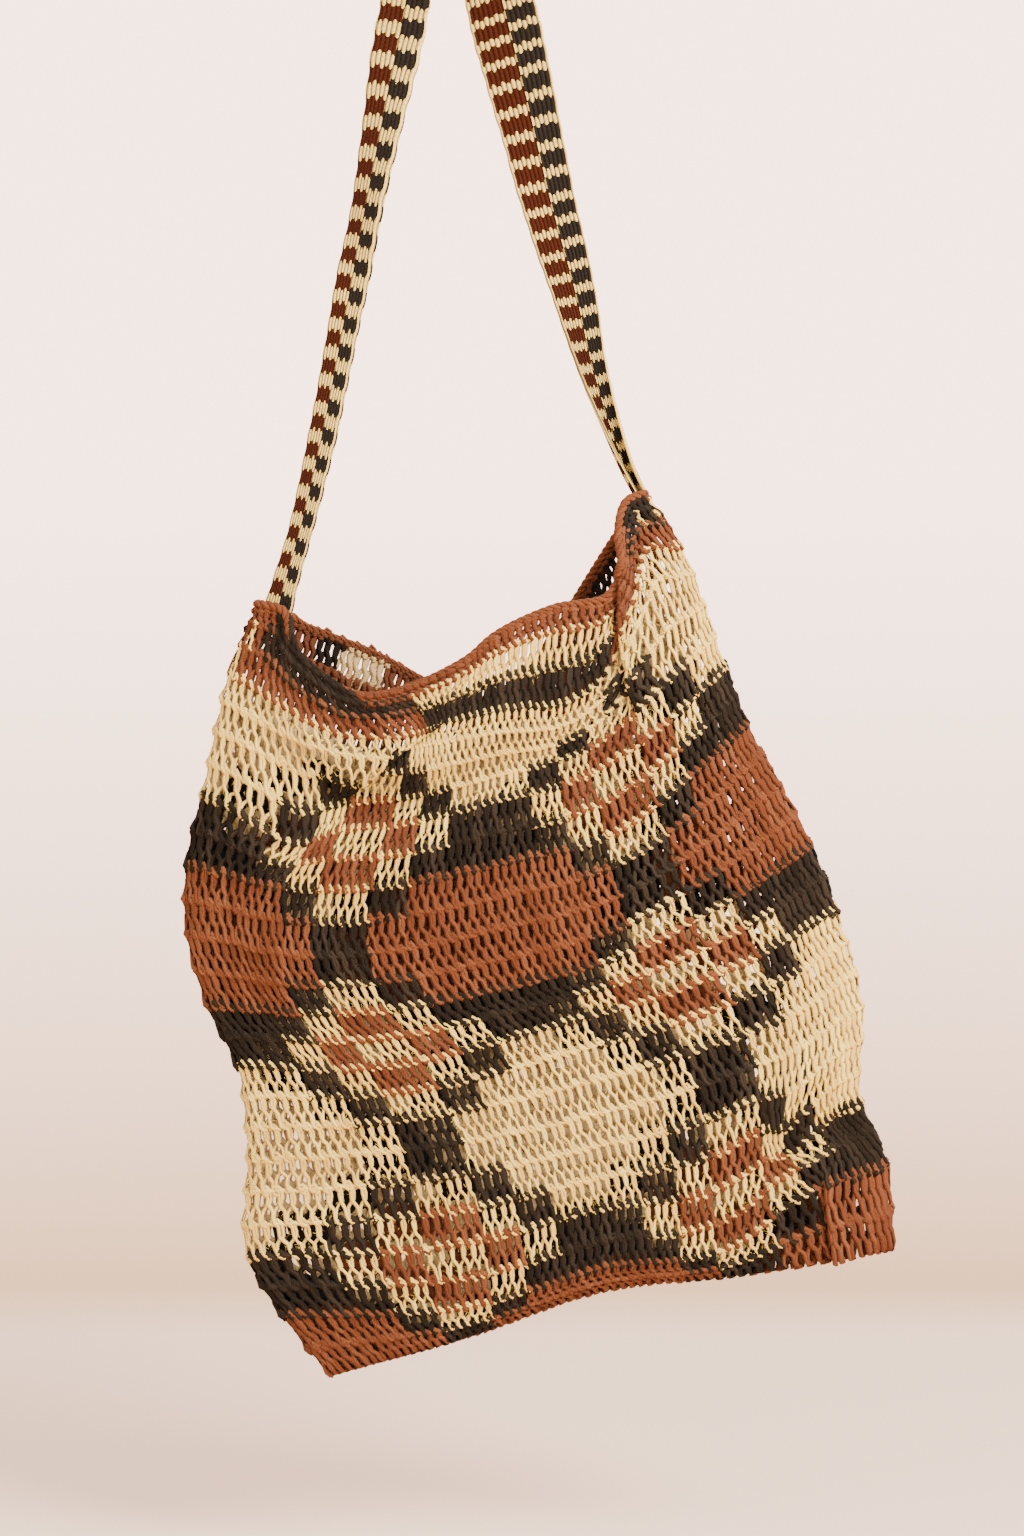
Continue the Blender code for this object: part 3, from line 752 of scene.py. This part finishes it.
def hung(stitch, down):
    """How far down places on the net hang, once its border's courses are narrowed."""
    ahead = np.interp(down, BORDER_PLACES, FRONT_BORDER)
    behind = np.interp(down, BORDER_PLACES, BACK_BORDER)
    return np.where(stitch < HALF_ROUND, ahead, behind)


def make_net():
    """The looped net, as two yarns and a crossing strand for every stitch."""
    tones = np.clip(RANDOM.normal(TONE, TONE_SPREAD, (COURSE_ROWS, ROUND)), 0, 1)
    shifts = RANDOM.normal(0, 1, (COURSE_ROWS, ROUND, 2)) * STITCH_SHIFT
    for name, first, last, strand in PIECES:
        table = np.array(strand)
        stitch, course = np.meshgrid(np.arange(ROUND), np.arange(first, last))
        stitch, course = stitch.ravel(), course.ravel()
        count = len(stitch)
        colour = colours_of(stitch, course)
        fullness = fullness_of(stitch, course, colour) * RANDOM.normal(1, FULLNESS_SPREAD, count)
        wobble = RANDOM.normal(0, 1, (count, len(table), 2)) * YARN_WOBBLE
        shift = shifts[course, stitch]
        across = stitch[:, None] + 0.5 + table[:, 0] + shift[:, :1] + wobble[..., 0]
        height = np.minimum(COURSES - course, 1)[:, None]
        down = course[:, None] + (table[:, 1] + shift[:, 1:] + wobble[..., 1]) * height
        down = np.minimum(hung(stitch[:, None], down), NET_END)
        centres, outward = WALL.place(across, down, np.broadcast_to(table[:, 2] * MM, across.shape))
        widths = YARN_HALF_WIDTH * fullness[:, None] * RANDOM.normal(1, WIDTH_SPREAD, across.shape)
        points, quads, caps, values = tubes(centres, outward, widths, YARN_SIDES, YARN_FLATNESS)
        # The back's yarns are made deeper in its middle, painted shade for the inside of the bag
        painted_shade = np.interp(stitch, BACK_STITCHES, BACK_PAINTED_SHADE)
        tone = tones[course, stitch] + painted_shade + RANDOM.normal(0, YARN_TONE_SPREAD, count)
        values["tone"] = np.repeat(np.clip(tone, 0, 1), len(points) // count)
        slots = [np.repeat(colour, len(quads) // count), np.concatenate([colour, colour])]
        net = mesh_object(name, points, [quads, caps], YARNS, slots, values)
        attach(net, "root")
        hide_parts("bag_body")


def make_hairs():
    """Loose hairs that stand off the yarn, the front's and the back's alike."""
    stitch = RANDOM.integers(0, ROUND, HAIRS)
    course = RANDOM.integers(0, COURSE_ROWS, HAIRS)
    colour = colours_of(stitch, course)
    across = stitch + RANDOM.uniform(*HAIR_SHARES, HAIRS)
    down = np.minimum(course + RANDOM.uniform(0, 1, HAIRS), COURSES - HAIR_STEP)
    roots, outward = WALL.place(across, down, np.full(HAIRS, HAIR_ROOT))
    below, _ = WALL.place(across, np.minimum(down + HAIR_STEP, NET_END), np.zeros(HAIRS))
    above, _ = WALL.place(across, down - HAIR_STEP, np.zeros(HAIRS))
    run = unit(below - above)
    aside = np.cross(run, outward)
    lean = RANDOM.normal(0, 1, (3, HAIRS, 1)) * np.array(HAIR_LAY)[:, None, None]
    start = unit(lean[0] * run + lean[1] * aside + np.abs(lean[2]) * outward)
    end = unit(start + HAIR_BEND * RANDOM.normal(0, 1, (HAIRS, 3)))
    length = RANDOM.uniform(*HAIR_LENGTH, (HAIRS, 1)) / 2
    width = unit(np.cross(start, RANDOM.normal(0, 1, (HAIRS, 3)))) * HAIR_WIDTH / 2
    middle = roots + start * length
    tips = middle + end * length
    points = np.stack([roots - width, roots + width, middle + width, middle - width, tips], axis=1)
    first = np.arange(HAIRS)[:, None] * HAIR_POINTS
    faces = [first + np.arange(4), first + (3, 2, 4)]
    values = {
        "tone": np.repeat(RANDOM.uniform(*HAIR_TONES, HAIRS), HAIR_POINTS),
        # The hairs get none of the yarn's painted shade in its ply furrows and along its sides
        "twist": np.full(HAIRS * HAIR_POINTS, 0.25),
        "side": np.zeros(HAIRS * HAIR_POINTS),
    }
    hairs = mesh_object("yarn_hairs", points.reshape(-1, 3), faces, YARNS, [colour, colour], values)
    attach(hairs, "root")
    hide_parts("bag_body")


def mouth_line(stitches):
    """The cord's middle line, with the directions out of the wall and down it."""
    top = np.zeros(len(stitches))
    edge, outward = WALL.place(stitches, top, top)
    below, _ = WALL.place(stitches, top + EDGE_STEP, top)
    along = np.roll(edge, -1, axis=0) - np.roll(edge, 1, axis=0)
    down = unit(np.cross(np.cross(along, below - edge), along))
    out = unit(np.cross(down, along))
    out *= np.sign((out * outward).sum(1))[:, None]
    return edge - down * CORD_SEAT, out, down


def cord_path():
    """The cord's middle line and the directions out and down, in even steps, with places along it."""
    line, out, down = mouth_line(np.linspace(0, ROUND, MOUTH_READINGS, endpoint=False))
    gaps = np.linalg.norm(np.diff(line, axis=0, append=line[:1]), axis=1)
    lengths = np.concatenate([[0], np.cumsum(gaps)])
    places = np.linspace(0, lengths[-1], int(lengths[-1] / CORD_STEP) + 1)

    def even(values):
        looped = np.concatenate([values, values[:1]])
        return np.stack([np.interp(places, lengths, looped[:, k]) for k in range(3)], axis=1)

    return even(line), even(out), even(down), places


def make_edging():
    """The thick twisted cord round the mouth."""
    line, out, down, places = cord_path()
    turns = round(places[-1] / CORD_LAY)
    angle = 2 * np.pi * turns * places / places[-1]
    full = np.interp(line[:, 0], CORD_PLACES, CORD_FULLNESS)[:, None]
    line = line + down * (1 - full) * EDGING_RADIUS
    centres = []
    for strand in range(CORD_STRANDS):
        turn = angle + 2 * np.pi * strand / CORD_STRANDS
        offset = np.cos(turn)[:, None] * out + np.sin(turn)[:, None] * down
        centres.append(line + offset * CORD_STRAND_OUT * full)
    centres = np.array(centres)
    outward = np.broadcast_to(out, centres.shape)
    radii = CORD_STRAND_RADIUS * RANDOM.normal(1, CORD_SPREAD, centres.shape[:2]) * full[:, 0]
    radii[:, -1] = radii[:, 0]
    points, quads, caps, values = tubes(centres, outward, radii, CORD_SIDES)
    values["tone"] = np.repeat(CORD_TONES, len(points) // CORD_STRANDS)
    # The cord's strands get less of the yarn's painted side shade
    values["side"] = CORD_PAINTED_SHADE * values["side"]
    x, y, _ = points[quads].mean(axis=1).T
    darker = (x > CORD_DARK[0]) & (x < CORD_DARK[1]) & (y < 0)
    slots = [darker, np.zeros(len(caps))]
    yarns = [YARNS[TERRACOTTA], YARNS[DARK]]
    cord = mesh_object("mouth_cord", points, [quads, caps], yarns, slots, values)
    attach(cord, "root")
    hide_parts("mouth_edging")


def strap_rows():
    """The strap's rows, with the turn over the top between its two legs."""
    radius = (PEG_RADIUS + STRAP_THICK / 2) / MM
    over = []
    for i in range(1, TOP_STEPS):
        angle = math.pi * (1 - i / TOP_STEPS)
        x = radius * math.cos(angle)
        z = radius * (math.sin(angle) - 1) + STRAP_THICK / MM / 2
        over.append((x, z, STRAP_LEFT[-1][2], 0, 0, TOP_FACING))
    return np.array([*STRAP_LEFT, *over, *STRAP_RIGHT], float)


def section(width, turn, curl):
    """The strap cut across: its middle line's (across, behind, bend), from its left edge to its right."""
    before = min(STRAP_FOLD_AT, 1 - 4 * STRAP_FOLD_RADIUS / width)
    after = before + math.pi * STRAP_FOLD_RADIUS / width
    shares = np.linspace(0, 1, ACROSS_POINTS)
    bends = np.interp(shares, [before, after], [0, turn]) + curl * (shares - 0.5)
    middles = np.radians((bends[1:] + bends[:-1]) / 2)
    steps = np.diff(shares) * width
    across = np.concatenate([[0], np.cumsum(steps * np.cos(middles))])
    behind = np.concatenate([[0], np.cumsum(steps * np.sin(middles))])
    centre = (across.max() + across.min()) / 2, (behind.max() + behind.min()) / 2
    return across - centre[0], behind - centre[1], np.radians(bends)


def strap_blocks(nodes, rib, parity):
    """1 in the strap's blocks and 0 outside them, then 1 in its left column and 0 in its right."""
    across = nodes.value("across")
    ragged = nodes.math("MULTIPLY_ADD", nodes.noise(500, 1), RAGGED, -RAGGED / 2)
    tooth = nodes.math("MULTIPLY_ADD", rib, POINTED / -2, nodes.math("MULTIPLY", parity, STEPPED))
    along = nodes.math("ADD", nodes.math("ADD", nodes.value("phase"), ragged), tooth)
    is_left = nodes.math("LESS_THAN", across, COLUMNS_MEET)
    lag = nodes.math("MULTIPLY", nodes.math("SUBTRACT", 1.0, is_left), DARK_LAG)
    past_left = nodes.math("GREATER_THAN", across, SELVEDGES[0])
    inside = nodes.math("MULTIPLY", past_left, nodes.math("LESS_THAN", across, SELVEDGES[1]))
    inside = nodes.math("ADD", inside, nodes.math("GREATER_THAN", across, BEHIND), clamp=True)
    length = nodes.math("MULTIPLY_ADD", rib, -POINTED, nodes.value("block"))
    block = nodes.math("LESS_THAN", nodes.math("FRACT", nodes.math("SUBTRACT", along, lag)), length)
    return nodes.math("MULTIPLY", block, inside), is_left


def strap_material():
    """The woven band: cream selvedges, and two columns of blocks that step past one another."""
    nodes = Surface("woven strap", 0.95, 0.03, 0.02)
    ribline = nodes.value("ribline")
    rib = nodes.math("ABSOLUTE", nodes.math("SINE", nodes.math("MULTIPLY", ribline, math.pi)))
    parity = nodes.math("MODULO", nodes.math("FLOOR", ribline), 2.0)
    tinted, is_left = strap_blocks(nodes, rib, parity)
    cream = nodes.mix(nodes.noise(700, 3), *CREAM_THREAD)
    rust = nodes.mix(nodes.noise(800, 3), *RUST_THREAD)
    dark = nodes.mix(nodes.noise(900, 3), *DARK_THREAD)
    colour = nodes.mix(tinted, cream, nodes.mix(is_left, dark, rust))
    # Painted shade in the grooves between the ribs, strong in the cream and faint in the blocks
    in_cream, in_blocks = GROOVE_PAINTED_SHADES
    groove_shade = nodes.math("POWER", nodes.math("SUBTRACT", 1.0, rib), GROOVE_FALL)
    shading = nodes.math("MULTIPLY_ADD", tinted, in_blocks - in_cream, in_cream)
    colour = nodes.mix(nodes.math("MULTIPLY", groove_shade, shading), colour, GROOVE_SHADE_COLOUR)
    nodes.look({"Base Color": colour})
    along = nodes.math("MULTIPLY_ADD", parity, FLOAT_LENGTH / 2, nodes.value("along"))
    floats = nodes.math("SINE", nodes.math("MULTIPLY", along, 2 * math.pi / FLOAT_LENGTH))
    height = nodes.math("MULTIPLY_ADD", floats, 0.5, nodes.noise(1500, 2))
    nodes.bump(nodes.math("MULTIPLY_ADD", rib, 2.0, height), STRAP_RELIEF)
    return nodes.material


def strap_along(heights, places):
    """The phase of the strap's pattern at each place along it, and its blocks, ribs and waves there."""
    top = int(np.argmax(heights))
    left = np.interp([z for z, n in BLOCKS_LEFT], heights[:top], places[:top])
    right = np.interp([-z for z, n in BLOCKS_RIGHT], -heights[top:], places[top:])
    counts = [BLOCK_SHARES[0] / 2 - n for z, n in BLOCKS_LEFT]
    counts += [BLOCK_SHARES[1] / 2 + BLOCKS_BETWEEN + n for z, n in BLOCKS_RIGHT]
    first = counts[0] - left[0] / PERIODS[0]
    last = counts[-1] + (places[-1] - right[-1]) / PERIODS[1]
    phase = np.interp(places, [0, *left, *right, places[-1]], [first, *counts, last])
    legs = (left[-1], right[0])
    return phase, *(np.interp(places, legs, pair) for pair in (BLOCK_SHARES, RIBS, WAVES))


def strap_across(folded):
    """The shares of the strap's width that lie across it at each place, for its ribs and its blocks."""
    shares = np.linspace(0, 1, ACROSS_POINTS)
    start, end = FOLDED_PATTERN
    even = start * folded + shares * (1 + folded * ((end - start) / FOLD_SEEN - 1))
    open_band = np.interp(shares, OPEN_PLACES, (0, SELVEDGES[0], COLUMNS_MEET, SELVEDGES[1], 1))
    return even, even + (1 - folded) * (open_band - shares)


def strap_points(read, swell, half):
    """The strap's points: at each place along it, across its front and back again behind."""
    run = np.gradient(read[:, :2], axis=0)
    points = np.empty((len(read), 2, ACROSS_POINTS, 3))
    for n, ((x, z, width, turn, curl, facing), (dx, dz)) in enumerate(zip(read.tolist(), run.tolist())):
        along = Vector((dx, 0, dz)).normalized()
        twist = Matrix.Rotation(math.radians(facing), 3, along)
        ahead = Vector((0, -1, 0))
        sideways = np.array(twist @ along.cross(ahead).normalized())
        ahead = np.array(twist @ ahead)
        across, behind, bends = section(width * swell[n] * MM, turn, curl)
        for face, side in enumerate((1, -1)):
            a = across + side * half[n] * np.sin(bends)
            b = behind - side * half[n] * np.cos(bends)
            points[n, face] = (x * MM, 0, z * MM) + a[:, None] * sideways - b[:, None] * ahead
    points[:, 1] = points[:, 1, ::-1]
    return points.reshape(-1, 3)


def strap_faces(count):
    """The faces round the strap between so many places, and those that close its two ends."""
    ring = 2 * ACROSS_POINTS
    side = np.arange(ring)
    first = np.arange(count - 1)[:, None] * ring
    a, b = first + side, first + (side + 1) % ring
    quads = np.stack([a, b, b + ring, a + ring], axis=-1).reshape(-1, 4)
    pairs = np.arange(ACROSS_POINTS - 1)
    cap = np.stack([pairs, ring - 1 - pairs, ring - 2 - pairs, pairs + 1], axis=-1)
    return [quads, np.concatenate([cap, cap[:, ::-1] + (count - 1) * ring])]


def make_strap():
    """The woven strap: one flat ribbed band, folded along its left leg and rolled at its right end."""
    rows = strap_rows()
    lengths = np.concatenate([[0], np.cumsum(np.linalg.norm(np.diff(rows[:, :2], axis=0), axis=1))])
    count = int(lengths[-1] * MM / STRAP_STEP)
    places = np.linspace(0, lengths[-1], count)
    read = smooth(lengths, rows, places)
    phase, block, ribs, wave = strap_along(read[:, 1], places)
    even, pattern = strap_across(read[:, 3:4] / 180)
    ribline = even * ribs[:, None]
    uneven = UNEVEN * np.sin(places / UNEVEN_WAVES[0]) * np.sin(places / UNEVEN_WAVES[1])
    swell = 1 - wave * np.cos(2 * np.pi * (phase - block / 2)) + uneven
    half = STRAP_THICK / 2 * (1 - RIB_HOLLOW * (1 - np.abs(np.sin(np.pi * ribline))))
    half[:, [0, -1]] *= EDGE_THIN
    ring = 2 * ACROSS_POINTS
    values = {
        "across": np.hstack([pattern, pattern[:, ::-1]]).ravel(),
        "ribline": np.hstack([ribline, ribline[:, ::-1]]).ravel(),
        "phase": np.repeat(phase, ring),
        "along": np.repeat(places, ring),
        "block": np.repeat(block + POINTED / 2, ring),
    }
    faces = strap_faces(count)
    slots = [np.zeros(len(part)) for part in faces]
    points = strap_points(read, swell, half)
    band = mesh_object("woven_strap", points, faces, [strap_material()], slots, values)
    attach(band, "root")
    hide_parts("strap")
    return band


def make_camera():
    """The camera straight in front of the bag."""
    data = bpy.data.cameras.new("camera")
    data.sensor_width = SENSOR
    data.lens = SENSOR * CAMERA_BACK / FRAME_HEIGHT
    data.clip_start, data.clip_end = CAMERA_SEES
    camera = added("camera", data)
    camera.location = CAMERA_MIDDLE - Vector((0, CAMERA_BACK, 0))
    camera.rotation_euler = (math.pi / 2, 0, 0)
    bpy.context.scene.camera = camera


def make_world():
    """Soft daylight, brightest behind the bag, where a pale wall would stand."""
    world = bpy.data.worlds.new("soft daylight")
    world.use_nodes = True
    nodes = Nodes(world.node_tree)
    axes = nodes.axes("Generated")
    wall = nodes.mix(nodes.rise(axes["Z"], *WALL_RISES, "LINEAR"), LOW_WALL_LIGHT, WALL_LIGHT)
    light = nodes.mix(nodes.rise(axes["Y"], *WALL_SHOWS, "SMOOTHSTEP"), ROOM_LIGHT, wall)
    nodes.fill(nodes.tree.nodes["Background"], {"Color": light})
    bpy.context.scene.world = world


def make_floor():
    """A pale floor under the bag, which fades into the light behind it."""
    left, front, right, back = -FLOOR_REACH, -FLOOR_REACH, FLOOR_REACH, FLOOR_BACK
    mesh = bpy.data.meshes.new("floor")
    corners = [(left, front, 0), (right, front, 0), (right, back, 0), (left, back, 0)]
    mesh.from_pydata(corners, [], [(0, 1, 2, 3)])
    nodes = Surface("pale floor", 0.95, 0.25, 0.0)
    left_over = nodes.math("SUBTRACT", FLOOR_BACK, nodes.axes("Object")["Y"])
    fade = nodes.math("DIVIDE", left_over, FLOOR_FADE, clamp=True)
    nodes.look({"Base Color": FLOOR_COLOUR, "Alpha": fade})
    mesh.materials.append(nodes.material)
    floor = added("floor", mesh)
    floor.location = (0, 0, FLOOR_Z)


def make_lights():
    """The main light from the upper right, with weaker ones from the left and from behind."""
    for name, place, size, power in LIGHTS:
        data = bpy.data.lights.new(name, "AREA")
        data.energy = power
        data.size = size
        lamp = added(name, data)
        lamp.location = place
        toward = CAMERA_MIDDLE - lamp.location
        lamp.rotation_euler = toward.to_track_quat("-Z", "Y").to_euler()


make_camera()
make_world()
make_floor()
make_lights()
WALL = Wall()
make_net()
make_hairs()
make_edging()
strap_band = make_strap()
